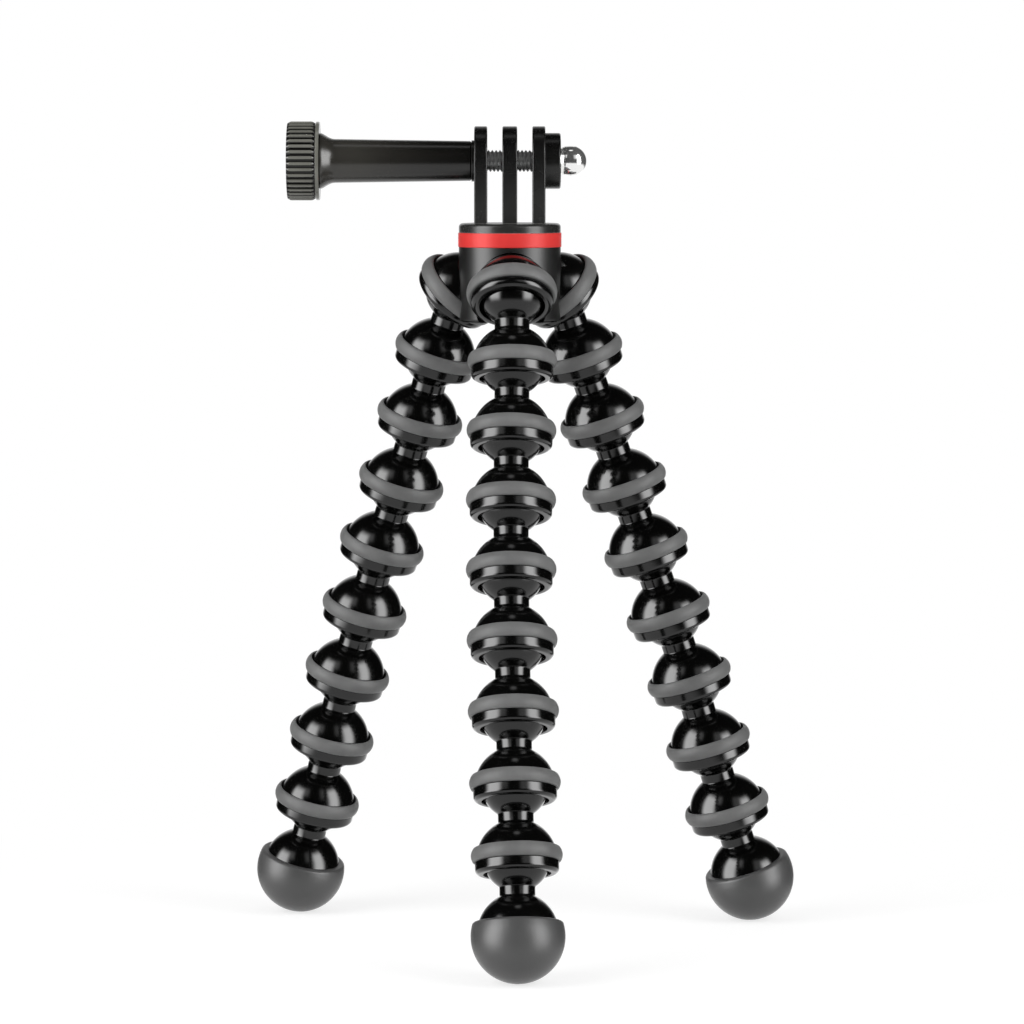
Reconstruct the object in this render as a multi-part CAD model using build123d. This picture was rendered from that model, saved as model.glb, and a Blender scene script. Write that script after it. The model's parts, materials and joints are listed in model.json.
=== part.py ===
from build123d import *
import math
import os

# A flexible leg tripod. Three chains of ball-and-socket links carry a small hub, and
# a three-finger clevis with a long thumbscrew stands on the hub and takes the camera.
# Millimetres and degrees, up is +Z. The front leg leans to -Y, the knob is at -X.
# The feet stand on z = 0, and the box round the whole part is centred on the origin.

# Ball links of the legs
link_pitch = 15.3
ball_r = 7.0
ball_gap = 0.06
cup_wall = 0.94
neck_r = 3.6
neck_top_fillet = 0.4
neck_foot_fillet = 1.2

# Socket mouth, the same on the links and on the hub
throat_bite = 0.31
lip_drop = 3.3
lip_flare = 0.3
collar_step = 0.7
collar_flare = 0.25
collar_height = 2.0
collar_round = 0.9
hub_collar_round = 1.4

# Rubber grip ring round each socket
ring_rise = 2.2
ring_bulge = 1.3
ring_bulge_rise = 0.4
ring_top_wall = 0.55
ring_foot_wall = 0.9
ring_round = 0.25
rubber_gap = 0.02

# Foot with its rubber cap
cap_wall = 1.8
cap_drop = 0.9
cap_rim_rise = 2.1
cap_round = 0.7

# Hub
hub_r = 11.0
hub_cup_wall = 1.34
socket_circle_r = 12.8
hub_turn = 2
hub_shoulder = 9.7
hub_core_drop = 6.4
hub_bottom_round = 0.8
ring_clearance = 0.3
groove_width = 0.5
groove_depth = 1.2
spigot_r = 9.0
spigot_gap = 0.05

# Red accent ring under the clevis
accent_r = 11.15
accent_height = 3.1

# Three-finger clevis
disc_r = 11.0
disc_height = 2.0
disc_round = 0.8
middle_finger = 3.2
outer_finger = 2.8
finger_slot = 3.25
finger_r = 7.45
finger_edge = 0.3
screw_height = 13.4
boss_r = 6.0
boss_length = 3.3
boss_round = 0.4

# Thumbscrew and its cap nut
rod_r = 2.38
rod_gap = 0.05
rod_tip_depth = 1.65
nut_flats = 8.0
nut_height = 3.0
nut_gap = 0.05
dome_nut_r = 3.2
dome_nut_length = 5.6
dome_nose_r = 3.4
nut_bore_spare = 1.0
washer_r = 4.43
washer_thickness = 0.6
sleeve_end_r = 4.28
sleeve_root_r = 4.7
sleeve_length = 32.7
flare_r = 5.3
flare_length = 2.6
flange_r = 6.0
flange_thickness = 0.4
knob_r = 8.5
knob_length = 7.0
knob_rim_length = 1.0
knob_edge = 0.4
knob_rib_height = 0.45
knob_rib_count = 40
knob_rib_shares = (0, 0.4, 0.8, 1)
knob_dish_r = 5.5
knob_dish_depth = 0.6
rod_in_knob = 4.5

# How far a cut runs past what it cuts
overrun = 1.0

# How far each hub socket leans from straight down
socket_tilt_angles = {"front": 35, "left": 46, "right": 46}

# How each leg stands: the tilt from straight down of its links and foot, and their
# turn round the vertical from the leg's own socket, both from the hub outwards
leg_tilt_angles = {
    "front": (16, 18.5, 20.5, 21, 21, 20.5, 20, 18.5, 17),
    "left": (22.5, 19.5, 20.5, 21, 19, 19, 17.5, 16.5, 16.5),
    "right": (21, 21, 20, 19.5, 19.5, 18.5, 17, 17.5, 20),
}
leg_turn_angles = {
    "front": (-1, -4, -3, -1.5, 0, 1, 1.5, 2.5, 1),
    "left": (-9.5, -12.5, -11, -9, -10, -10, -10.5, -10.5, -9),
    "right": (-1, -5.5, -11, -15.5, -18.5, -18.5, -15.5, -11.5, -8.5),
}
socket_azimuths = {"front": -90 + hub_turn, "left": 150 + hub_turn, "right": 30 + hub_turn}

# Worked out from the sizes above
cavity_r = ball_r + ball_gap
throat_r = cavity_r - throat_bite
cup_r = cavity_r + cup_wall
hub_cup_r = cavity_r + hub_cup_wall
cap_r = cup_r + cap_wall
collar_top = collar_height - lip_drop
foot_reach = link_pitch + cap_drop
slot_start = middle_finger / 2
outer_start = slot_start + finger_slot
outer_end = outer_start + outer_finger
boss_end = outer_end + boss_length


def pointing(tilt, azimuth):
    """The direction that leans from straight down by a tilt, towards an azimuth."""
    lean = math.radians(tilt)
    turn = math.radians(azimuth)
    return Vector(math.sin(lean) * math.cos(turn), math.sin(lean) * math.sin(turn), -math.cos(lean))


def leg_reach(name):
    """How far a leg's tilts take it down and outwards, to the middle of its foot."""
    lengths = [link_pitch] * (len(leg_tilt_angles[name]) - 1) + [foot_reach]
    pairs = list(zip(lengths, leg_tilt_angles[name]))
    down = sum(length * math.cos(math.radians(tilt)) for length, tilt in pairs)
    out = sum(length * math.sin(math.radians(tilt)) for length, tilt in pairs)
    return down, out


# The front leg sets the height of the sockets over the floor
stance = leg_reach("front")[0]
socket_height = stance + cap_r


def leg_directions(name):
    """The direction of each link, with the small extra lean that grounds this foot."""
    down, out = leg_reach(name)
    extra = math.degrees(math.acos(stance / math.hypot(down, out)) - math.atan2(out, down))
    if name == "front":
        extra = 0
    turned = [socket_azimuths[name] + turn for turn in leg_turn_angles[name]]
    return [pointing(tilt + extra, azimuth) for tilt, azimuth in zip(leg_tilt_angles[name], turned)]


def leg_centres(name):
    """The ball centres of a leg from the hub outwards, and last the middle of its cap."""
    turn = math.radians(socket_azimuths[name])
    out = socket_circle_r
    points = [Vector(out * math.cos(turn), out * math.sin(turn), socket_height)]
    steps = leg_directions(name)
    for step in steps[:-1]:
        points.append(points[-1] + step * link_pitch)
    points.append(points[-1] + steps[-1] * foot_reach)
    return points


# The hub's axis stands where the feet's box is centred on the origin
feet = [leg_centres(name)[-1] for name in leg_tilt_angles]
hub_x = -(min(foot.X for foot in feet) + max(foot.X for foot in feet)) / 2
hub_y = -(min(foot.Y for foot in feet) + max(foot.Y for foot in feet)) / 2
hub_axis = Vector(hub_x, hub_y, 0)

accent_base = socket_height + hub_shoulder
disc_base = accent_base + accent_height
disc_top = disc_base + disc_height
screw_z = disc_top + screw_height


def spun(outline):
    """The solid that an outline of radius and height makes, turned about the vertical."""
    return revolve(Plane.XZ * make_face(outline), Axis.Z)


def about_axis(centre, start, end):
    """The arc about a height on the axis, from one point of an outline to another."""
    first = math.degrees(math.atan2(start[1] - centre, start[0]))
    last = math.degrees(math.atan2(end[1] - centre, end[0]))
    radius = math.hypot(start[0], start[1] - centre)
    return CenterArc((0, centre), radius, first, last - first)


def neck_joins(sphere_r, fillet_r):
    """Where the fillet between a sphere and the neck touches both, from the sphere's centre."""
    out = neck_r + fillet_r
    along = math.sqrt((sphere_r + fillet_r) ** 2 - out**2)
    share = sphere_r / (sphere_r + fillet_r)
    return (out * share, along * share), (neck_r, along)


def ball_and_neck():
    """The outline of a ball, its neck and the start of the dome, over a socket's centre."""
    ball_join, ball_neck = neck_joins(ball_r, neck_top_fillet)
    dome_join, dome_neck = neck_joins(cup_r, neck_foot_fillet)
    top = (0, link_pitch + ball_r)
    ball_touch = (ball_join[0], link_pitch - ball_join[1])
    neck_top = (neck_r, link_pitch - ball_neck[1])
    upper = about_axis(link_pitch, top, ball_touch)
    upper_fillet = TangentArc(neck_top, ball_touch, tangent=(0, 1))
    neck = Line(neck_top, dome_neck)
    lower_fillet = TangentArc(dome_neck, dome_join, tangent=(0, -1))
    return [upper, upper_fillet, neck, lower_fillet], dome_join


def socket_mouth(shell_r, lip_round, dome_start):
    """The outline from a point of the dome over the ring seat, collar, lip and cavity."""
    equator = (shell_r, 0)
    seat_foot = (shell_r, collar_top)
    collar_edge = (shell_r + collar_step - collar_flare, collar_top)
    slope = math.atan2(collar_flare, collar_height)
    reach = lip_round / math.tan((math.pi / 2 - slope) / 2)
    widest = shell_r + collar_step
    corner_top = (widest - reach * math.sin(slope), reach * math.cos(slope) - lip_drop)
    corner_foot = (widest - reach, -lip_drop)
    lip = (throat_r + lip_flare, -lip_drop)
    throat = (throat_r, -math.sqrt(cavity_r**2 - throat_r**2))
    crown = (0, cavity_r)
    return [
        about_axis(0, dome_start, equator),
        Line(equator, seat_foot),
        Line(seat_foot, collar_edge),
        Line(collar_edge, corner_top),
        TangentArc(corner_top, corner_foot, tangent=(math.sin(slope), -math.cos(slope))),
        Line(corner_foot, lip),
        Line(lip, throat),
        about_axis(0, throat, crown),
    ]


def make_link():
    """One leg link: the ball at the top, the socket for the next ball at the foot."""
    upper, dome_start = ball_and_neck()
    axis_line = Line((0, cavity_r), (0, link_pitch + ball_r))
    return spun(upper + socket_mouth(cup_r, collar_round, dome_start) + [axis_line])


def make_grip_ring(shell_r):
    """The rubber ring on a socket, with a bulged outer wall, a bore and a rounded rim."""
    bore = shell_r + rubber_gap
    foot = (shell_r + ring_foot_wall, collar_top)
    bulge = (shell_r + ring_bulge, ring_bulge_rise)
    rim = (shell_r + ring_top_wall, ring_rise)
    section = make_face(
        [
            ThreePointArc(foot, bulge, rim),
            Line(rim, (bore, ring_rise)),
            Line((bore, ring_rise), (bore, collar_top)),
            Line((bore, collar_top), foot),
        ]
    )
    rim_corner = section.vertices().sort_by(Axis.Y)[-2:].sort_by(Axis.X)[-1]
    return revolve(Plane.XZ * fillet(rim_corner, ring_round), Axis.Z)


def make_foot_stem():
    """The last piece of a leg: a ball and neck on a round core that fills the cap."""
    upper, dome_start = ball_and_neck()
    pole = (0, -cup_r)
    core = about_axis(0, dome_start, pole)
    axis_line = Line(pole, (0, link_pitch + ball_r))
    return spun(upper + [core, axis_line])


def make_foot_cap():
    """The rubber cap: a bowl that grips the core up to its widest, with an open rim."""
    bore = cup_r + rubber_gap
    rim_out = math.sqrt(cap_r**2 - (cap_rim_rise + cap_drop) ** 2)
    shoulder = (rim_out, cap_rim_rise)
    sole = (0, -cap_drop - cap_r)
    section = make_face(
        [
            about_axis(-cap_drop, sole, shoulder),
            Line(shoulder, (bore, cap_rim_rise)),
            Line((bore, cap_rim_rise), (bore, 0)),
            about_axis(0, (bore, 0), (0, -bore)),
            Line((0, -bore), sole),
        ]
    )
    corner = section.vertices().sort_by(Axis.X)[-1]
    return revolve(Plane.XZ * fillet(corner, cap_round), Axis.Z)


def socket_planes():
    """The plane of each hub socket: its origin at the socket's centre, +Z into the hub."""
    planes = {}
    for name, azimuth in socket_azimuths.items():
        centre = leg_centres(name)[0] + hub_axis
        planes[name] = Plane(centre, z_dir=pointing(socket_tilt_angles[name], azimuth) * -1)
    return planes


def make_hub():
    """The hub: a round core cut away for the grip rings, with three sockets and a spigot."""
    core_height = hub_shoulder + hub_core_drop
    core_place = Pos(hub_x, hub_y, accent_base - core_height / 2)
    core = core_place * Cylinder(hub_r, core_height)
    core = fillet(core.edges().group_by(Axis.Z)[0], hub_bottom_round)
    skin = Cylinder(hub_r + overrun, core_height) - Cylinder(hub_r - groove_depth, core_height)
    skin = core_place * skin
    spigot = Pos(hub_x, hub_y, accent_base + accent_height / 2) * Cylinder(spigot_r, accent_height)
    hub = core + spigot
    room_r = hub_cup_r + ring_bulge + ring_clearance
    room_top = ring_rise + ring_clearance
    room = Pos(0, 0, room_top - hub_r) * Cylinder(room_r, 2 * hub_r)
    dome_start = (0, hub_cup_r)
    axis_line = Line((0, cavity_r), dome_start)
    cup = spun(socket_mouth(hub_cup_r, hub_collar_round, dome_start) + [axis_line])
    for plane in socket_planes().values():
        hub -= plane * room
        hub -= skin & (plane * Sphere(hub_cup_r + groove_width))
    for plane in socket_planes().values():
        hub -= plane * Sphere(cavity_r)
        hub += plane * cup
    return hub


def make_hub_rings():
    """The red accent ring round the spigot, and the grip ring of each hub socket."""
    rim = Cylinder(accent_r, accent_height) - Cylinder(spigot_r + spigot_gap, accent_height)
    accent = Pos(hub_x, hub_y, accent_base + accent_height / 2) * rim
    grip = make_grip_ring(hub_cup_r)
    return [accent] + [plane * grip for plane in socket_planes().values()]


def along_screw(outline):
    """The solid that an outline of place along the screw and radius makes, on its axis."""
    return Pos(hub_x, hub_y, screw_z) * revolve(make_face(outline), Axis.X)


def screw_rod(radius, start, end):
    """A plain round bar on the screw's axis, from one place along it to another."""
    return along_screw([Polyline((start, 0), (end, 0), (end, radius), (start, radius), close=True)])


def make_finger(start, thickness):
    """One flat finger of the clevis, round at its top about the screw, edges eased."""
    side = finger_r
    outline = make_face(
        [
            Line((-side, -screw_height), (side, -screw_height)),
            Line((side, -screw_height), (side, 0)),
            ThreePointArc((side, 0), (0, side), (-side, 0)),
            Line((-side, 0), (-side, -screw_height)),
        ]
    )
    blade = extrude(Plane.YZ * outline, thickness)
    rims = blade.faces().filter_by(Axis.X).edges() - blade.faces().sort_by(Axis.Z)[0].edges()
    return Pos(hub_x + start, hub_y, screw_z) * fillet(rims, finger_edge)


def make_nut_body(spare):
    """The six-sided part of the cap nut, or with a spare its pocket in the boss."""
    hexagon = RegularPolygon(nut_flats / 2 + spare, 6, major_radius=False)
    prism = extrude(Plane.YZ * hexagon, nut_height)
    return Pos(hub_x + boss_end - nut_height, hub_y, screw_z) * prism


def make_finger_mount():
    """The clevis: a disc, three fingers and the boss that holds the cap nut."""
    disc = Pos(hub_x, hub_y, disc_base + disc_height / 2) * Cylinder(disc_r, disc_height)
    mount = fillet(disc.edges().group_by(Axis.Z)[-1], disc_round)
    starts = (-outer_end, -slot_start, outer_start)
    for start, thickness in zip(starts, (outer_finger, middle_finger, outer_finger)):
        mount += make_finger(start, thickness)
    boss = screw_rod(boss_r, outer_start + outer_finger / 2, boss_end)
    mount += fillet(boss.edges().group_by(Axis.X)[-1], boss_round)
    mount -= screw_rod(rod_r + rod_gap, -outer_end - overrun, boss_end + overrun)
    return mount - make_nut_body(nut_gap)


def make_cap_nut():
    """The cap nut: a six-sided foot in the boss and a round dome outside it."""
    start = boss_end - nut_height / 2
    tip = boss_end + dome_nut_length
    nose_centre = tip - dome_nose_r
    nose_start = math.sqrt(dome_nose_r**2 - dome_nut_r**2)
    nose_angle = math.degrees(math.atan2(dome_nut_r, nose_start))
    side_end = (nose_centre + nose_start, dome_nut_r)
    dome = along_screw(
        [
            Line((start, 0), (start, dome_nut_r)),
            Line((start, dome_nut_r), side_end),
            CenterArc((nose_centre, 0), dome_nose_r, 0, nose_angle),
            Line((tip, 0), (start, 0)),
        ]
    )
    bore_end = boss_end + rod_tip_depth + nut_bore_spare
    bore = screw_rod(rod_r + rod_gap, boss_end - nut_height - overrun, bore_end)
    return make_nut_body(0) + dome - bore


def make_washer():
    """The thin washer between the sleeve and the first finger."""
    ring = screw_rod(washer_r, -outer_end - washer_thickness, -outer_end)
    return ring - screw_rod(rod_r + rod_gap, -outer_end - 2 * overrun, -outer_end + overrun)


def make_knob(face):
    """The ribbed knob: a ribbed grip, a plain rim by the sleeve and a dished end."""
    valley_r = knob_r - knob_rib_height
    step = 2 * math.pi / knob_rib_count
    ribs = []
    for i in range(knob_rib_count):
        angles = [step * (i + share) for share in knob_rib_shares]
        radii = (valley_r, knob_r, valley_r, valley_r)
        points = [(r * math.cos(a), r * math.sin(a)) for r, a in zip(radii, angles)]
        ribs.append(ThreePointArc(*points[:3]))
        ribs.append(Line(points[2], points[3]))
    grip = extrude(Plane.YZ * make_face(ribs), knob_length - knob_rim_length)
    grip = Pos(hub_x + face - knob_length, hub_y, screw_z) * grip
    rim = screw_rod(knob_r, face - knob_rim_length, face)
    rim = chamfer(rim.edges().group_by(Axis.X)[-1], knob_edge)
    end = face - knob_length
    dish = screw_rod(knob_dish_r, end - overrun, end + knob_dish_depth)
    bore = screw_rod(rod_r + rubber_gap, face - rod_in_knob, face + overrun)
    return grip + rim - dish - bore


def make_thumbscrew():
    """The thumbscrew's three pieces: ribbed knob, flared sleeve and steel rod."""
    sleeve_end = -outer_end - washer_thickness
    face = sleeve_end - sleeve_length
    flare_start = face + flange_thickness
    sleeve = along_screw(
        [
            Line((face, 0), (face, flange_r)),
            Line((face, flange_r), (flare_start, flange_r)),
            Line((flare_start, flange_r), (flare_start, flare_r)),
            TangentArc(
                (flare_start + flare_length, sleeve_root_r), (flare_start, flare_r), tangent=(-1, 0)
            ),
            Line((flare_start + flare_length, sleeve_root_r), (sleeve_end, sleeve_end_r)),
            Line((sleeve_end, sleeve_end_r), (sleeve_end, 0)),
            Line((sleeve_end, 0), (face, 0)),
        ]
    )
    sleeve -= screw_rod(rod_r + rubber_gap, face - overrun, sleeve_end + overrun)
    rod = screw_rod(rod_r, face - rod_in_knob, boss_end + rod_tip_depth)
    return [make_knob(face), sleeve, rod]


def save(name, shapes):
    """Write one named piece, or a group of separate solids under one name."""
    solids = [solid for shape in shapes for solid in shape.solids()]
    whole = solids[0] if len(solids) == 1 else Compound(solids)
    export_step(whole, f"parts/{name}.step")


os.makedirs("parts", exist_ok=True)
save("hub_body", [make_hub()])
save("hub_rings", make_hub_rings())
save("finger_mount", [make_finger_mount()])
save("cap_nut", [make_cap_nut()])
save("screw_washer", [make_washer()])
save("thumbscrew", make_thumbscrew())

link = make_link()
link_ring = make_grip_ring(cup_r)
foot_stem = make_foot_stem()
foot_cap = make_foot_cap()
for leg in leg_tilt_angles:
    centres = [point + hub_axis for point in leg_centres(leg)]
    ways = leg_directions(leg)
    for number, way in enumerate(ways[:-1], start=1):
        place = Plane(centres[number], z_dir=way * -1)
        save(f"{leg}_link_{number}", [place * link])
        save(f"{leg}_grip_ring_{number}", [place * link_ring])
    foot_place = Plane(centres[-2] + ways[-1] * link_pitch, z_dir=ways[-1] * -1)
    save(f"{leg}_foot_stem", [foot_place * foot_stem])
    save(f"{leg}_foot_cap", [foot_place * foot_cap])
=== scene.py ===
import json
import math

import bmesh
import bpy
from mathutils import Matrix, Vector


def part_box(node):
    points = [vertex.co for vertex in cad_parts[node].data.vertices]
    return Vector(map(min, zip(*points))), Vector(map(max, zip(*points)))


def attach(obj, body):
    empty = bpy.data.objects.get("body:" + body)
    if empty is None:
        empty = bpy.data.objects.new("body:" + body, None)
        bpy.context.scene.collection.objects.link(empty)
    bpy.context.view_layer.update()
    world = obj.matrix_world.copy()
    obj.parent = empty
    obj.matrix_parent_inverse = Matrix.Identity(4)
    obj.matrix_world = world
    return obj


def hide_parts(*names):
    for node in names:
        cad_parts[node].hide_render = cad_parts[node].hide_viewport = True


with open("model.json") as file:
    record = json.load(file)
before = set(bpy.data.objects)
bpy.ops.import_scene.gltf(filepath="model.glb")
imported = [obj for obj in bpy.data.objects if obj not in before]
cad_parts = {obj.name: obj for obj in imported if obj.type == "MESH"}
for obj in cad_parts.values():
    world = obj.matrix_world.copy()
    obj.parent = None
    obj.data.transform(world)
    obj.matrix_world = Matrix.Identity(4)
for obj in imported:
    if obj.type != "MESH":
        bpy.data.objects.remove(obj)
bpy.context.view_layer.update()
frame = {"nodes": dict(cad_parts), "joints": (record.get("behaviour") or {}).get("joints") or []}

# The studio. The tripod stands on a white table between two tall soft boxes, with a white
# wall behind it and a dark room in front of it and above it.
mm = 0.001
joint_of = {joint["child"]: joint for joint in frame["joints"]}
screw_centre = Vector(joint_of["thumbscrew"]["pos_m"])
hub_centre = Vector((screw_centre.x, screw_centre.y, 0))

camera_lens = 170.84
camera_sensor = 36
camera_place = Vector((0.473, -1050, 176.87)) * mm
camera_pitch = math.radians(4.571)
camera_data = bpy.data.cameras.new("camera")
camera_data.sensor_fit = "HORIZONTAL"
camera_data.sensor_width = camera_sensor
camera_data.lens = camera_lens
camera = bpy.data.objects.new("camera", camera_data)
camera.location = hub_centre + camera_place
camera.rotation_euler = (math.pi / 2 - camera_pitch, 0, 0)
bpy.context.scene.collection.objects.link(camera)
bpy.context.scene.camera = camera
bpy.context.scene.view_settings.view_transform = "Standard"


def add_node(tree, kind, inputs=(), **settings):
    """A new shader node, with its settings made and its inputs set or linked in order."""
    made = tree.nodes.new(kind)
    for name, value in settings.items():
        setattr(made, name, value)
    for name, value in dict(inputs).items():
        if isinstance(value, bpy.types.NodeSocket):
            tree.links.new(value, made.inputs[name])
        else:
            made.inputs[name].default_value = value
    return made


def maths(tree, operation, first, second=0.0):
    """The output of a Math node on two values or sockets."""
    inputs = {0: first} if operation in ("ARCSINE", "ABSOLUTE") else {0: first, 1: second}
    return add_node(tree, "ShaderNodeMath", inputs, operation=operation).outputs[0]


def ramp(tree, value, start, end):
    """A smooth step that climbs from 0 to 1 as the value goes from start to end."""
    inputs = {"Value": value, "From Min": start, "From Max": end}
    made = add_node(tree, "ShaderNodeMapRange", inputs, interpolation_type="SMOOTHSTEP")
    return made.outputs["Result"]


def between(tree, value, low, high, soft):
    """A mask that is 1 between two values, with soft edges."""
    rise = ramp(tree, value, low - soft, low + soft)
    fall = ramp(tree, value, high + soft, high - soft)
    return maths(tree, "MULTIPLY", rise, fall)


# What glossy surfaces see, by compass angle from the camera's side and angle over the
# horizon: the two boxes with the dim cloth of their inner sides, the wall, a small lamp on
# the ceiling, and the table.
# Each panel has its compass angles, its heights, the softness of its edges and its light.
left_box = ((-84, -45), (-14, 41), 9, 9.0)
left_cloth = ((-45, -24), (24, 46), 7, 1.2)
right_box = ((43, 75), (-14, 37), 9, 9.0)
right_cloth = ((16, 43), (16, 45), 7, 0.8)
wall = ((158, 181), (-25, 33), 15, 1.3)
ceiling = ((-181, 181), (84, 91), 3, 1.2)
table = ((-181, 181), (-91, -16), 6, 0.95)
panels = (left_box, left_cloth, right_box, right_cloth, wall, ceiling, table)
room_light = 0.01
shade_light = 0.45

world = bpy.data.worlds.new("studio")
world.use_nodes = True
bpy.context.scene.world = world
tree = world.node_tree
tree.nodes.clear()
way = add_node(tree, "ShaderNodeTexCoord").outputs["Generated"]
parts = add_node(tree, "ShaderNodeSeparateXYZ", {"Vector": way}).outputs
front = maths(tree, "MULTIPLY", parts["Y"], -1.0)
turn = maths(tree, "MULTIPLY", maths(tree, "ARCTAN2", parts["X"], front), math.degrees(1))
aside = maths(tree, "ABSOLUTE", turn)
rise = maths(tree, "MULTIPLY", maths(tree, "ARCSINE", parts["Z"]), math.degrees(1))
seen = room_light
for azimuths, heights, soft, light in panels:
    bearing = aside if azimuths == wall[0] else turn
    across = between(tree, bearing, *azimuths, soft)
    panel = maths(tree, "MULTIPLY", across, between(tree, rise, *heights, soft))
    seen = maths(tree, "ADD", seen, maths(tree, "MULTIPLY", panel, light))
ray = add_node(tree, "ShaderNodeLightPath").outputs
white = add_node(tree, "ShaderNodeBackground", {"Strength": 1.0})
shade = add_node(tree, "ShaderNodeBackground", {"Strength": shade_light})
mirror = add_node(tree, "ShaderNodeBackground", {"Strength": seen})
for background in (white, shade, mirror):
    background.inputs["Color"].default_value = (1, 1, 1, 1)
seen_by_light = {0: ray["Is Glossy Ray"], 1: shade.outputs[0], 2: mirror.outputs[0]}
lit = add_node(tree, "ShaderNodeMixShader", seen_by_light)
seen_by_all = {0: ray["Is Camera Ray"], 1: lit.outputs[0], 2: white.outputs[0]}
sky = add_node(tree, "ShaderNodeMixShader", seen_by_all)
add_node(tree, "ShaderNodeOutputWorld", {"Surface": sky.outputs[0]})
world.cycles.sampling_method = "NONE"

# The two soft boxes as lamps. They shade the matt surfaces, and the shine comes from the
# studio that the glossy surfaces see. Each has its name, compass angle and power.
lamps = (("box_left", -55, 3.0), ("box_right", 55, 2.5))
lamp_distance = 0.7
lamp_width = 0.45
lamp_height = 0.55
lamp_rise = math.radians(28)
lamp_aim_height = 90
lamp_aim = hub_centre + Vector((0, 0, lamp_aim_height)) * mm
for name, azimuth, power in lamps:
    lamp_data = bpy.data.lights.new(name, "AREA")
    lamp_data.shape = "RECTANGLE"
    lamp_data.size = lamp_width
    lamp_data.size_y = lamp_height
    lamp_data.energy = power
    lamp = bpy.data.objects.new(name, lamp_data)
    swing = math.radians(azimuth)
    toward = Vector((math.sin(swing), -math.cos(swing), 0)) * math.cos(lamp_rise)
    toward.z = math.sin(lamp_rise)
    lamp.location = lamp_aim + toward * lamp_distance
    lamp.rotation_euler = toward.to_track_quat("Z", "Y").to_euler()
    lamp.visible_glossy = False
    lamp.visible_camera = False
    bpy.context.scene.collection.objects.link(lamp)

# The white table top. It keeps the shadows near the feet and fades to plain white further
# out, and the shine on the tripod looks past it.
table_r = 0.9
table_sides = 64
table_albedo = 0.8
table_shadow_share = 0.34
table_glow = 0.74
table_fade = (0.11, 0.2)
rim = []
for i in range(table_sides):
    angle = i * math.tau / table_sides
    rim.append((table_r * math.cos(angle), table_r * math.sin(angle), 0))
mesh = bpy.data.meshes.new("table_top")
mesh.from_pydata(rim, [], [list(range(table_sides))])
table_top = bpy.data.objects.new("table_top", mesh)
bpy.context.scene.collection.objects.link(table_top)
material = bpy.data.materials.new("white_table")
material.use_nodes = True
tree = material.node_tree
tree.nodes.clear()
ray = add_node(tree, "ShaderNodeLightPath").outputs
place = add_node(tree, "ShaderNodeTexCoord").outputs["Object"]
reach = add_node(tree, "ShaderNodeVectorMath", {0: place}, operation="LENGTH").outputs["Value"]
fade = ramp(tree, reach, *table_fade)
paper = add_node(tree, "ShaderNodeBsdfDiffuse", {"Color": (table_albedo,) * 3 + (1,)})
faint = add_node(tree, "ShaderNodeBsdfDiffuse", {"Color": (table_shadow_share,) * 3 + (1,)})
glow = add_node(tree, "ShaderNodeEmission", {"Strength": table_glow})
full = add_node(tree, "ShaderNodeEmission", {"Strength": 1.0})
near = add_node(tree, "ShaderNodeAddShader", {0: faint.outputs[0], 1: glow.outputs[0]})
shown = add_node(tree, "ShaderNodeMixShader", {0: fade, 1: near.outputs[0], 2: full.outputs[0]})
seen_solid = {0: ray["Is Camera Ray"], 1: paper.outputs[0], 2: shown.outputs[0]}
solid = add_node(tree, "ShaderNodeMixShader", seen_solid)
clear = add_node(tree, "ShaderNodeBsdfTransparent")
seen_top = {0: ray["Is Glossy Ray"], 1: solid.outputs[0], 2: clear.outputs[0]}
top = add_node(tree, "ShaderNodeMixShader", seen_top)
add_node(tree, "ShaderNodeOutputMaterial", {"Surface": top.outputs[0]})
table_top.data.materials.append(material)

# The hub: one moulding in black plastic. Its drum has a satin surface, and the three
# sockets that stand out of it are polished. The red ring and the clevis sit on its spigot.
drum_r = 11.0 * mm
drum_skin = (0.15 * mm, 0.03 * mm)
drum_edge = 0.01 * mm
drum_roughness_rise = 0.22
drum_tone_rise = 0.6
blotch_detail = 3.0
grain_detail = 4.0
edge_samples = 6
edge_alignment = (0.985, 0.8)


def make_skin():
    """The shared look of a surface: soft blotches in colour and shine, and a fine grain."""
    group = bpy.data.node_groups.new("surface_skin", "ShaderNodeTree")
    group.interface.new_socket("colour", in_out="INPUT", socket_type="NodeSocketColor")
    for name in ("spread", "roughness", "roughness_spread", "blotches", "grain"):
        group.interface.new_socket(name, in_out="INPUT", socket_type="NodeSocketFloat")
    group.interface.new_socket("colour", in_out="OUTPUT", socket_type="NodeSocketColor")
    for name in ("roughness", "height"):
        group.interface.new_socket(name, in_out="OUTPUT", socket_type="NodeSocketFloat")
    given = add_node(group, "NodeGroupInput").outputs
    place = add_node(group, "ShaderNodeTexCoord").outputs["Object"]
    blotch = add_node(
        group,
        "ShaderNodeTexNoise",
        {"Vector": place, "Scale": given["blotches"], "Detail": blotch_detail},
    ).outputs["Fac"]
    swing = maths(group, "MULTIPLY", maths(group, "SUBTRACT", blotch, 0.5), 2.0)
    gain = maths(group, "ADD", maths(group, "MULTIPLY", swing, given["spread"]), 1.0)
    tone = add_node(
        group, "ShaderNodeVectorMath", {0: given["colour"], "Scale": gain}, operation="SCALE"
    ).outputs["Vector"]
    shift = maths(group, "MULTIPLY", swing, given["roughness_spread"])
    rough = maths(group, "ADD", given["roughness"], shift)
    grain = add_node(
        group,
        "ShaderNodeTexNoise",
        {"Vector": place, "Scale": given["grain"], "Detail": grain_detail},
    ).outputs["Fac"]
    add_node(group, "NodeGroupOutput", {"colour": tone, "roughness": rough, "height": grain})
    return group


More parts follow.
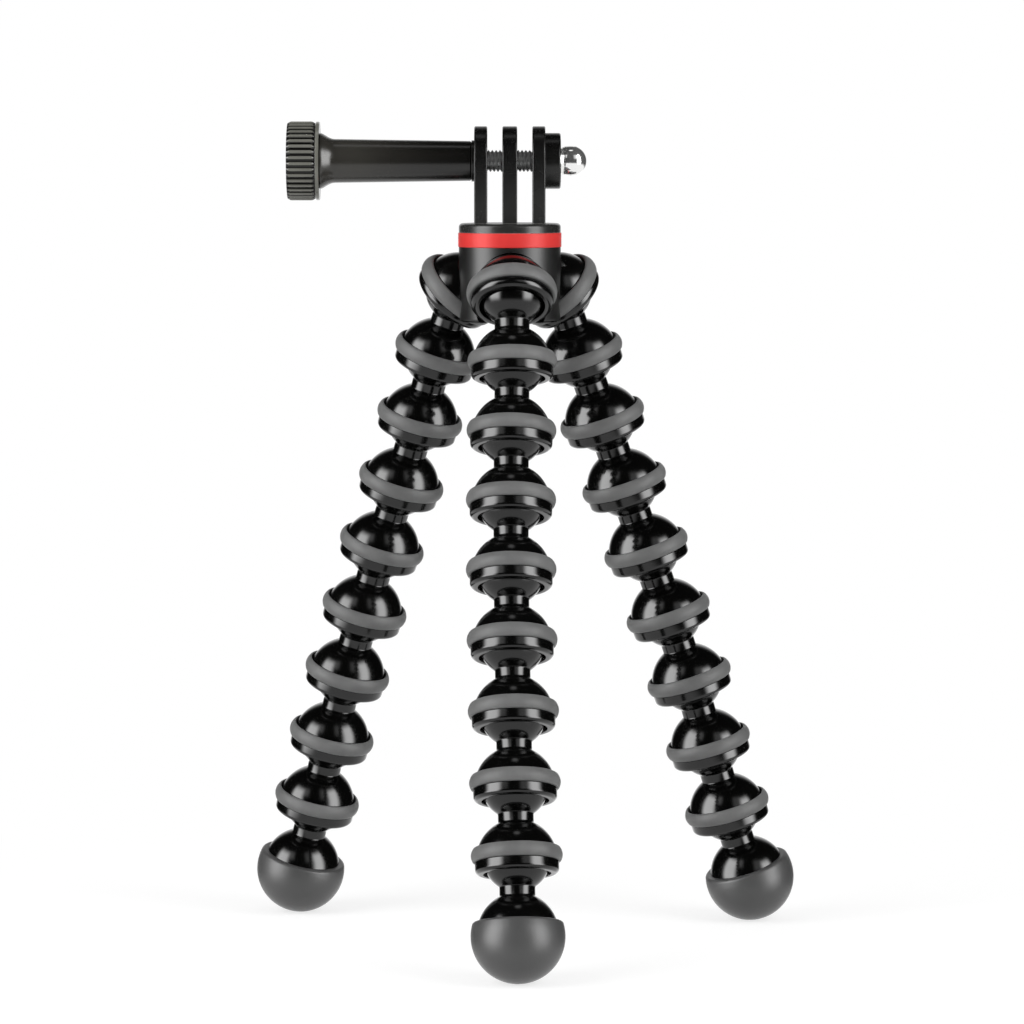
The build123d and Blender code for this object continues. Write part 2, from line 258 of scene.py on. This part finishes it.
def make_edge_wear_and_sheen():
    """A mask that is 0 on open faces and 1 along corners and rims of a given width."""
    group = bpy.data.node_groups.new("edge_wear_and_sheen", "ShaderNodeTree")
    group.interface.new_socket("width", in_out="INPUT", socket_type="NodeSocketFloat")
    group.interface.new_socket("mask", in_out="OUTPUT", socket_type="NodeSocketFloat")
    given = add_node(group, "NodeGroupInput").outputs
    eased = add_node(
        group, "ShaderNodeBevel", {"Radius": given["width"]}, samples=edge_samples
    ).outputs["Normal"]
    plain = add_node(group, "ShaderNodeNewGeometry").outputs["Normal"]
    same = add_node(
        group, "ShaderNodeVectorMath", {0: eased, 1: plain}, operation="DOT_PRODUCT"
    ).outputs["Value"]
    add_node(group, "NodeGroupOutput", {"mask": ramp(group, same, *edge_alignment)})
    return group


surface_skin = make_skin()
edge_wear_and_sheen = make_edge_wear_and_sheen()


def finish(
    name, specular=0.5, metallic=0.0, depth=0.01 * mm, edge_width=0.0, edge_gain=0.0, **look
):
    """A finish whose colour, shine and grain come from the skin, with edges painted paler for wear
    and as a painted highlight.
    """
    material = bpy.data.materials.new(name)
    material.use_nodes = True
    tree = material.node_tree
    tree.nodes.clear()
    surface = add_node(tree, "ShaderNodeGroup", node_tree=surface_skin)
    for socket, value in look.items():
        surface.inputs[socket].default_value = value
    colour = surface.outputs["colour"]
    # Edges are painted paler, partly as wear and partly as a painted highlight along rims and
    # corners.
    if edge_width:
        edges = add_node(tree, "ShaderNodeGroup", node_tree=edge_wear_and_sheen)
        edges.inputs["width"].default_value = edge_width
        gain = maths(tree, "ADD", maths(tree, "MULTIPLY", edges.outputs["mask"], edge_gain), 1.0)
        colour = add_node(
            tree, "ShaderNodeVectorMath", {0: colour, "Scale": gain}, operation="SCALE"
        ).outputs["Vector"]
    grain = surface.outputs["height"]
    bump = add_node(tree, "ShaderNodeBump", {"Height": grain, "Distance": depth})
    shader = add_node(
        tree,
        "ShaderNodeBsdfPrincipled",
        {
            "Base Color": colour,
            "Roughness": surface.outputs["roughness"],
            "Normal": bump.outputs["Normal"],
            "Metallic": metallic,
            "Specular IOR Level": specular,
        },
    )
    add_node(tree, "ShaderNodeOutputMaterial", {"Surface": shader.outputs[0]})
    return material


def dress(piece, material):
    """Give a piece its finish."""
    piece.data.materials.clear()
    piece.data.materials.append(material)


def reach_from(tree, centre, across):
    """How far the surface is from a centre, counted only along the axes that across keeps."""
    place = add_node(tree, "ShaderNodeTexCoord").outputs["Object"]
    away = add_node(
        tree, "ShaderNodeVectorMath", {0: place, 1: tuple(centre)}, operation="SUBTRACT"
    ).outputs["Vector"]
    kept = add_node(
        tree, "ShaderNodeVectorMath", {0: away, 1: across}, operation="MULTIPLY"
    ).outputs["Vector"]
    return add_node(tree, "ShaderNodeVectorMath", {0: kept}, operation="LENGTH").outputs["Value"]


def pale(material, mask, gain):
    """Make a finish paler by 1 plus the gain where a mask is 1."""
    tree = material.node_tree
    shader = tree.nodes["Principled BSDF"]
    tone = shader.inputs["Base Color"].links[0].from_socket
    scale = maths(tree, "ADD", maths(tree, "MULTIPLY", mask, gain), 1.0)
    paler = add_node(tree, "ShaderNodeVectorMath", {0: tone, "Scale": scale}, operation="SCALE")
    tree.links.new(paler.outputs["Vector"], shader.inputs["Base Color"])


drum_and_sockets = finish(
    "drum_and_sockets",
    depth=0.004 * mm,
    colour=(0.0022, 0.0022, 0.0021, 1),
    spread=0.25,
    roughness=0.15,
    roughness_spread=0.03,
    blotches=60,
    grain=900,
)
tree = drum_and_sockets.node_tree
distance = reach_from(tree, hub_centre, (1, 1, 0))
satin = between(tree, distance, drum_r - drum_skin[0], drum_r + drum_skin[1], drum_edge)
shader = tree.nodes["Principled BSDF"]
rough = shader.inputs["Roughness"].links[0].from_socket
rougher = maths(tree, "ADD", rough, maths(tree, "MULTIPLY", satin, drum_roughness_rise))
tree.links.new(rougher, shader.inputs["Roughness"])
pale(drum_and_sockets, satin, drum_tone_rise)
dress(frame["nodes"]["hub_body"], drum_and_sockets)

# The hub's three grip rings, in grey rubber. Each is stretched over a socket's dome down
# to the step of its collar, and stands off the dome at the top with a rounded rim.
hub_grip_leans = {"front": 35, "left": 46, "right": 46}
hub_grip_azimuths = {"front": -88, "left": 152, "right": 32}
hub_grip_bore = 8.42
hub_grip_foot = (-1.1, 9.3)
hub_grip_bulge = (0.4, 9.7)
hub_grip_rim = (2.2, 8.95)
hub_grip_round = 0.25 * mm
hub_grip_steps = 12
hub_grip_sides = 96
sharp_angle = math.radians(35)


def through(first, second, third, steps):
    """Points of (height, radius) on the curve through three of them, from first to third."""
    points = []
    for i in range(steps + 1):
        height = first[0] + (third[0] - first[0]) * i / steps
        radius = 0
        orders = ((first, second, third), (second, third, first), (third, first, second))
        for one, two, three in orders:
            share = (height - two[0]) * (height - three[0])
            share /= (one[0] - two[0]) * (one[0] - three[0])
            radius += one[1] * share
        points.append((height, radius))
    return points


def skinned(name, rows, place, closed=False):
    """A piece from rows of points in mm about +Z of its place, joined row to row."""
    made = bmesh.new()
    made_rows = []
    for row in rows:
        corners = [made.verts.new(Vector(point) * mm) for point in row]
        made_rows.append(corners * (len(rows[1]) // len(corners)))
    if closed:
        made_rows.append(made_rows[0])
    for low, high in zip(made_rows, made_rows[1:]):
        for i in range(len(low)):
            corners = dict.fromkeys((low[i - 1], low[i], high[i], high[i - 1]))
            made.faces.new(tuple(corners)).smooth = True
    bmesh.ops.recalc_face_normals(made, faces=made.faces)
    mesh = bpy.data.meshes.new(name)
    made.to_mesh(mesh)
    made.free()
    mesh.transform(place)
    mesh.set_sharp_from_angle(angle=sharp_angle)
    piece = bpy.data.objects.new(name, mesh)
    bpy.context.scene.collection.objects.link(piece)
    return piece


def turned(name, outline, place, sides, closed=False):
    """A piece turned on a lathe, from an outline of (height, radius) in mm."""
    rows = []
    for height, radius in outline:
        count = sides if radius else 1
        angles = [i * math.tau / sides for i in range(count)]
        rows.append([(radius * math.cos(a), radius * math.sin(a), height) for a in angles])
    return skinned(name, rows, place, closed)


def ease(piece, width):
    """Round a piece's sharp edges off, as its mould does."""
    bevel = piece.modifiers.new("eased edges", "BEVEL")
    bevel.width = width
    bevel.segments = 3
    bevel.limit_method = "ANGLE"
    bevel.angle_limit = sharp_angle
    bevel.harden_normals = False


def standing(centre, direction):
    """The place at a centre whose +Z points in a direction."""
    aimed = Vector(direction).to_track_quat("Z", "Y").to_matrix().to_4x4()
    return Matrix.Translation(centre) @ aimed


# The rubber's edges are painted paler, as wear and as a painted highlight along its rims.
grip_rubber = finish(
    "grip_rubber",
    specular=0.3,
    depth=0.03 * mm,
    edge_width=0.3 * mm,
    edge_gain=1.6,
    colour=(0.136, 0.137, 0.136, 1),
    spread=0.3,
    roughness=0.5,
    roughness_spread=0.1,
    blotches=220,
    grain=2500,
)
hub_grip_outline = through(hub_grip_foot, hub_grip_bulge, hub_grip_rim, hub_grip_steps)
hub_grip_outline += [(hub_grip_rim[0], hub_grip_bore), (hub_grip_foot[0], hub_grip_bore)]
for leg, lean in hub_grip_leans.items():
    socket = Vector(joint_of[f"{leg}_link_1"]["pos_m"])
    tilt, azimuth = math.radians(lean), math.radians(hub_grip_azimuths[leg])
    level = -math.sin(tilt)
    inward = (level * math.cos(azimuth), level * math.sin(azimuth), math.cos(tilt))
    place = standing(socket, inward)
    grip = turned(f"{leg}_hub_grip", hub_grip_outline, place, hub_grip_sides, closed=True)
    ease(grip, hub_grip_round)
    dress(grip, grip_rubber)
    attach(grip, "hub")
    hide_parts("hub_rings")

# The red ring between the hub and the clevis, in satin plastic. It is pushed over the
# hub's spigot before the clevis goes on.
accent_height = 3.1
accent_r = 11.15
accent_bore = 9.05
accent_round = 0.16 * mm
accent_sides = 128
clevis_low, clevis_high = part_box("finger_mount")
accent_base = hub_centre + Vector((0, 0, clevis_low.z - accent_height * mm))
accent_place = standing(accent_base, (0, 0, 1))
accent_outline = [
    (0, accent_bore),
    (0, accent_r),
    (accent_height, accent_r),
    (accent_height, accent_bore),
]
accent_ring = turned("accent_ring", accent_outline, accent_place, accent_sides, closed=True)
ease(accent_ring, accent_round)
# Its edges are painted a little paler, as wear and as a painted highlight.
accent_red = finish(
    "accent_red",
    specular=0.4,
    edge_width=0.25 * mm,
    edge_gain=0.3,
    colour=(0.66, 0.033, 0.03, 1),
    spread=0.06,
    roughness=0.42,
    roughness_spread=0.05,
    blotches=90,
    grain=1800,
)
dress(accent_ring, accent_red)
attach(accent_ring, "hub")
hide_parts("hub_rings")

# The clevis: a disc with three upright fingers and a boss for the nut, one moulding in
# black filled nylon with a satin skin. Its edges are painted a little paler, as wear and as a
# painted highlight, and the lower half of its fingers is painted paler, as painted light
# from the table below.
clevis_underlight_heights = (19 * mm, 4 * mm)
clevis_underlight_gain = 7.0
satin_black = finish(
    "satin_black",
    specular=0.35,
    edge_width=0.35 * mm,
    edge_gain=7.0,
    colour=(0.0028, 0.0028, 0.0027, 1),
    spread=0.3,
    roughness=0.27,
    roughness_spread=0.05,
    blotches=120,
    grain=1500,
)
# Painted light from below: the clevis is painted paler towards its foot.
clevis_foot = Vector((0, 0, clevis_low.z))
rise = reach_from(satin_black.node_tree, clevis_foot, (0, 0, 1))
pale(satin_black, ramp(satin_black.node_tree, rise, *clevis_underlight_heights), clevis_underlight_gain)
dress(frame["nodes"]["finger_mount"], satin_black)

# The cap nut, turned from hexagon brass and chromed. Its six-sided foot is trapped in the
# boss, and its waist is cut in a little where the dome leaves the boss.
nut_sides = 96
nut_side_angle = math.radians(60)
nut_flat_r = 4.0
nut_foot_length = 3.0
nut_waist = (2.75, 0.85)
nut_r = 3.2
nut_nose_r = 3.4
nut_nose_steps = 12
_, nut_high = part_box("cap_nut")
nut_length = (nut_high.x - clevis_high.x) / mm
nut_place = standing(Vector((clevis_high.x, screw_centre.y, screw_centre.z)), (1, 0, 0))


def nut_row(height, radius, hexagon=False):
    """A row of points round the nut, on a circle or on its hexagon."""
    points = []
    for i in range(nut_sides):
        angle = i * math.tau / nut_sides
        off_flat = (angle + nut_side_angle / 2) % nut_side_angle - nut_side_angle / 2
        out = radius / math.cos(off_flat) if hexagon else radius
        points.append((out * math.cos(angle), out * math.sin(angle), height))
    return points


rows = [
    [(0, 0, -nut_foot_length)],
    nut_row(-nut_foot_length, nut_flat_r, True),
    nut_row(0, nut_flat_r, True),
    nut_row(0, nut_waist[0]),
    nut_row(nut_waist[1], nut_r),
]
nose_height = nut_length - nut_nose_r
nose_start = math.acos(nut_r / nut_nose_r)
for i in range(nut_nose_steps):
    angle = nose_start + (math.pi / 2 - nose_start) * i / nut_nose_steps
    rows.append(nut_row(nose_height + nut_nose_r * math.sin(angle), nut_nose_r * math.cos(angle)))
rows.append([(0, 0, nut_length)])
cap_nut = skinned("cap_nut_turned", rows, nut_place)
chrome = finish(
    "chrome",
    metallic=0.9,
    depth=0.001 * mm,
    colour=(0.93, 0.93, 0.92, 1),
    spread=0.02,
    roughness=0.07,
    roughness_spread=0.02,
    blotches=300,
    grain=2000,
)
dress(cap_nut, chrome)
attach(cap_nut, "hub")
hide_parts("cap_nut")

# The thin washer that the end of the sleeve turns against, stamped from black plastic.
# It is slid over the rod and travels with the thumbscrew.
dress(frame["nodes"]["screw_washer"], satin_black)

# The thumbscrew's knob, moulded in black plastic onto the head of the rod. Its forty ribs
# end in round noses, short of a plain rim on the side of the sleeve, and their crests are
# painted grey, as a painted highlight against the shaded valleys.
knob_length = 7.0
knob_r = 8.5
knob_valley_r = 7.95
knob_rim_r = 8.45
knob_ribs = 40
knob_rib_points = 12
knob_rib_share = 0.85
knob_nose = ((0, 0), (0.03, 0.3), (0.6, 0.9), (0.9, 1))
knob_end_r = 7.75
knob_first_nose = 0.05
knob_last_nose = 6.1
knob_rim_start = 6.2
knob_rim_edge = 0.14
knob_dish_r = 5.5
knob_dish_depth = 0.6
knob_dish_slope = 0.3
knob_crest_highlight = (8.1 * mm, 8.45 * mm)
knob_crest_highlight_gain = 34.0
screw_low, screw_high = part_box("thumbscrew")
screw_start = Vector((screw_low.x, screw_centre.y, screw_centre.z))
knob_place = standing(screw_start, (1, 0, 0))


def rib_height(i):
    """How far a rib stands over the valley at one of its points round the knob, as a share."""
    across = (i % knob_rib_points) / knob_rib_points / knob_rib_share
    return max(0, 1 - (2 * across - 1) ** 2)


def knob_row(height, radius, lift):
    """A row of points round the knob, with its ribs raised by a share of their height."""
    count = knob_ribs * knob_rib_points
    points = []
    for i in range(count):
        out = radius + (knob_r - knob_valley_r) * lift * rib_height(i)
        angle = i * math.tau / count
        points.append((out * math.cos(angle), out * math.sin(angle), height))
    return points


rows = [[(0, 0, knob_dish_depth)]]
rows.append(knob_row(knob_dish_depth, knob_dish_r - knob_dish_slope, 0))
rows.append(knob_row(0, knob_dish_r, 0))
rows.append(knob_row(0, knob_end_r, 0))
for along, lift in knob_nose:
    rows.append(knob_row(knob_first_nose + along, knob_valley_r, lift))
for along, lift in reversed(knob_nose):
    rows.append(knob_row(knob_last_nose - along, knob_valley_r, lift))
rows.append(knob_row(knob_rim_start, knob_valley_r, 0))
rows.append(knob_row(knob_rim_start, knob_rim_r - knob_rim_edge, 0))
rows.append(knob_row(knob_rim_start + knob_rim_edge, knob_rim_r, 0))
rows.append(knob_row(knob_length - knob_rim_edge, knob_rim_r, 0))
rows.append(knob_row(knob_length, knob_rim_r - knob_rim_edge, 0))
rows.append([(0, 0, knob_length)])
knob = skinned("screw_knob", rows, knob_place)
knob_black = finish(
    "knob_black",
    colour=(0.004, 0.004, 0.0035, 1),
    spread=0.3,
    roughness=0.13,
    roughness_spread=0.03,
    blotches=200,
    grain=2200,
)
# A painted highlight: the rib crests, furthest from the axis, are painted paler.
distance = reach_from(knob_black.node_tree, screw_centre, (0, 1, 1))
pale(knob_black, ramp(knob_black.node_tree, distance, *knob_crest_highlight), knob_crest_highlight_gain)
dress(knob, knob_black)
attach(knob, "thumbscrew")
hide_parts("thumbscrew")

# The sleeve of the thumbscrew, a tapered tube in polished black plastic that flares out
# to meet the knob. It is moulded over the rod, and painted light makes it paler towards the knob.
flange_r = 6.0
flange_edge = 0.15
flare_length = 3.2
flare_power = 0.8
flare_steps = 14
sleeve_root_r = 4.7
sleeve_end_r = 4.28
sleeve_round = 0.3
sleeve_sides = 96
washer_low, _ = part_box("screw_washer")
sleeve_end = (washer_low.x - screw_low.x) / mm
sleeve_outline = [(knob_length, 0), (knob_length, flange_r - flange_edge)]
for i in range(flare_steps + 1):
    along = i / flare_steps
    share = (1 + math.cos(math.pi * along**flare_power)) / 2
    height = knob_length + flange_edge + flare_length * along
    sleeve_outline.append((height, sleeve_root_r + (flange_r - sleeve_root_r) * share))
sleeve_outline.append((sleeve_end - sleeve_round, sleeve_end_r))
sleeve_outline.append((sleeve_end, sleeve_end_r - sleeve_round))
sleeve_outline.append((sleeve_end, 0))
sleeve = turned("screw_sleeve", sleeve_outline, knob_place, sleeve_sides)
sleeve_painted_light_reach = (36 * mm, 6 * mm)
sleeve_painted_light_gain = 8.0
sleeve_black = finish(
    "sleeve_black",
    colour=(0.0038, 0.0036, 0.0031, 1),
    spread=0.25,
    roughness=0.24,
    roughness_spread=0.04,
    blotches=80,
    grain=1200,
)
# Painted light: the sleeve is painted paler towards the knob.
reach = reach_from(sleeve_black.node_tree, screw_start, (1, 0, 0))
pale(sleeve_black, ramp(sleeve_black.node_tree, reach, *sleeve_painted_light_reach), sleeve_painted_light_gain)
dress(sleeve, sleeve_black)
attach(sleeve, "thumbscrew")
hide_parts("thumbscrew")

# The steel rod of the thumbscrew, with a rolled thread from the sleeve to its chamfered
# tip. The thread advances as far in a turn as the joint does.
thread_pitch = 0.8
thread_r = 2.38
thread_depth = 0.42
thread_sides = 40
thread_steps = 8
thread_hidden = 1.0
thread_chamfer = 0.5
thread_start = sleeve_end - thread_hidden
thread_end = (screw_high.x - screw_low.x) / mm


def thread_radius(height, angle):
    """The radius of the thread at a height along the rod and an angle round it."""
    phase = height / thread_pitch - angle / math.tau
    wave = (1 - math.cos(phase * math.tau)) / 2
    chamfer_r = thread_r - thread_chamfer + thread_end - height
    return min(thread_r - thread_depth * wave, chamfer_r)


rows = [[(0, 0, thread_start)]]
step_count = round((thread_end - thread_start) / thread_pitch * thread_steps)
for i in range(step_count + 1):
    height = thread_start + (thread_end - thread_start) * i / step_count
    row = []
    for k in range(thread_sides):
        angle = k * math.tau / thread_sides
        radius = thread_radius(height, angle)
        row.append((radius * math.cos(angle), radius * math.sin(angle), height))
    rows.append(row)
rows.append([(0, 0, thread_end)])
rod = skinned("screw_rod", rows, knob_place)
thread_steel = finish(
    "thread_steel",
    metallic=0.6,
    depth=0.002 * mm,
    colour=(0.6, 0.6, 0.6, 1),
    spread=0.08,
    roughness=0.16,
    roughness_spread=0.04,
    blotches=400,
    grain=3000,
)
dress(rod, thread_steel)
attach(rod, "thumbscrew")
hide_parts("thumbscrew")

# The leg links. Each is one moulding in polished black plastic: a ball and neck on top of
# a dome, and a socket with a lipped mouth below that snaps over the next ball. The stems
# of the feet have the same ball, neck and dome on a round core, and their dome stops at
# a shoulder just over the rim of the foot cap.
legs = ("front", "left", "right")
link_numbers = range(1, 9)
link_pitch = 15.3
link_ball_r = 7.0
link_dome_r = 8.45
link_dome_drop = 0.2
link_core_r = 8.0
link_neck_r = 3.72
stem_shoulder = 2.15
link_throat_fillet = 0.4
link_foot_fillet = 0.3
link_cavity_r = 7.06
link_mouth_r = 6.75
link_lip_r = 7.05
link_seat_drop = 0.8
link_lip_drop = 3.3
link_collar_r = 8.76
link_collar_foot_r = 8.72
link_collar_edge = 0.12
link_collar_round = 0.95
link_sides = 96
link_arc_steps = 10
link_dome_steps = 20
link_ball_steps = 30


def swept(centre, radius, start, end, steps):
    """Points of (height, radius) on an arc, between two angles from straight outwards."""
    points = []
    for i in range(steps + 1):
        angle = start + (end - start) * i / steps
        points.append((centre[0] + radius * math.sin(angle), centre[1] + radius * math.cos(angle)))
    return points


def neck_hollow(sphere_r, fillet_r):
    """The height of a neck fillet's centre over a sphere's, and the angle where they meet."""
    out = link_neck_r + fillet_r
    along = math.sqrt((sphere_r + fillet_r) ** 2 - out**2)
    return along, math.atan2(along, out)


def ball_on_neck():
    """The outline of a ball, the short neck under it and the dome that the neck stands on."""
    ball_drop, ball_touch = neck_hollow(link_ball_r, link_throat_fillet)
    dome_rise, dome_touch = neck_hollow(link_dome_r, link_foot_fillet)
    throat = (link_pitch - ball_drop, link_neck_r + link_throat_fillet)
    root = (dome_rise - link_dome_drop, link_neck_r + link_foot_fillet)
    dome = (-link_dome_drop, 0)
    outline = swept((link_pitch, 0), link_ball_r, math.pi / 2, -ball_touch, link_ball_steps)
    outline[0] = (link_pitch + link_ball_r, 0)
    outline += swept(throat, link_throat_fillet, math.pi - ball_touch, math.pi, link_arc_steps)[1:]
    outline += swept(root, link_foot_fillet, math.pi, math.pi + dome_touch, link_arc_steps)
    outline += swept(dome, link_dome_r, dome_touch, 0, link_dome_steps)[1:]
    return outline


def socket_mouth():
    """The outline from the dome over the ring's seat, the collar and the lip, into the cavity."""
    mouth_angle = math.acos(link_mouth_r / link_cavity_r)
    middle = (link_collar_round - link_lip_drop, link_collar_foot_r - link_collar_round)
    outline = [
        (-link_seat_drop, link_dome_r),
        (-link_seat_drop, link_collar_r - link_collar_edge),
        (-link_seat_drop - link_collar_edge, link_collar_r),
    ]
    outline += swept(middle, link_collar_round, 0, -math.pi / 2, link_arc_steps)
    outline.append((-link_lip_drop, link_lip_r))
    outline += swept((0, 0), link_cavity_r, -mouth_angle, math.pi / 2, link_dome_steps)
    outline[-1] = (link_cavity_r, 0)
    return outline


def foot_core(leg):
    """The centre of a foot's round core, from the lowest and furthest reach of its stem."""
    low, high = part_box(f"{leg}_foot_stem")
    ball = Vector(joint_of[f"{leg}_foot"]["pos_m"])
    core = Vector(low) + Vector((1, 1, 1)) * link_core_r * mm
    for i in (0, 1):
        if low[i] + high[i] > 2 * ball[i]:
            core[i] = high[i] - link_core_r * mm
    return core


black_gloss = finish(
    "black_gloss",
    depth=0.004 * mm,
    colour=(0.0018, 0.0018, 0.0017, 1),
    spread=0.25,
    roughness=0.14,
    roughness_spread=0.03,
    blotches=60,
    grain=900,
)
link_outline = ball_on_neck() + socket_mouth()
stem_shoulder_r = math.sqrt(link_dome_r**2 - (stem_shoulder + link_dome_drop) ** 2)
stem_start = math.asin(stem_shoulder / link_core_r)
stem_outline = [point for point in ball_on_neck() if point[0] > stem_shoulder]
stem_outline.append((stem_shoulder, stem_shoulder_r))
stem_outline += swept((0, 0), link_core_r, stem_start, -math.pi / 2, link_dome_steps)
stem_outline[-1] = (-link_core_r, 0)
link_places = {}
for leg in legs:
    bodies = [f"{leg}_link_{number}" for number in link_numbers] + [f"{leg}_foot"]
    centres = [Vector(joint_of[body]["pos_m"]) for body in bodies] + [foot_core(leg)]
    for body, ball, socket in zip(bodies, centres, centres[1:]):
        link_places[body] = standing(socket, ball - socket)
        node = body.replace("foot", "foot_stem")
        outline = stem_outline if node != body else link_outline
        moulding = turned(f"{node}_moulding", outline, link_places[body], link_sides)
        dress(moulding, black_gloss)
        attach(moulding, body)
        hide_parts(node)

# The grip rings of the links, in the same grey rubber as the hub's. Each is stretched
# over a link's dome down to the step of its collar, and its rim stands a little open.
link_grip_bore = 8.48
link_grip_foot = (-0.79, 9.06)
link_grip_bulge = (0.45, 9.52)
link_grip_rim = (2.25, 8.92)
link_grip_round = 0.24 * mm
link_grip_outline = through(link_grip_foot, link_grip_bulge, link_grip_rim, hub_grip_steps)
link_grip_outline += [(link_grip_rim[0], link_grip_bore), (link_grip_foot[0], link_grip_bore)]
for leg in legs:
    for number in link_numbers:
        body = f"{leg}_link_{number}"
        place = link_places[body]
        grip = turned(f"{leg}_grip_{number}", link_grip_outline, place, link_sides, closed=True)
        ease(grip, link_grip_round)
        dress(grip, grip_rubber)
        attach(grip, body)
        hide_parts(f"{leg}_grip_ring_{number}")

# The foot caps, soft dark rubber bowls pushed over the round cores of the foot stems.
# The rims of the caps are painted paler, as wear and as a painted highlight.
foot_rubber = finish(
    "foot_rubber",
    specular=0.5,
    depth=0.02 * mm,
    edge_width=0.4 * mm,
    edge_gain=0.6,
    colour=(0.066, 0.066, 0.066, 1),
    spread=0.2,
    roughness=0.4,
    roughness_spread=0.06,
    blotches=90,
    grain=2500,
)
for leg in legs:
    dress(frame["nodes"][f"{leg}_foot_cap"], foot_rubber)
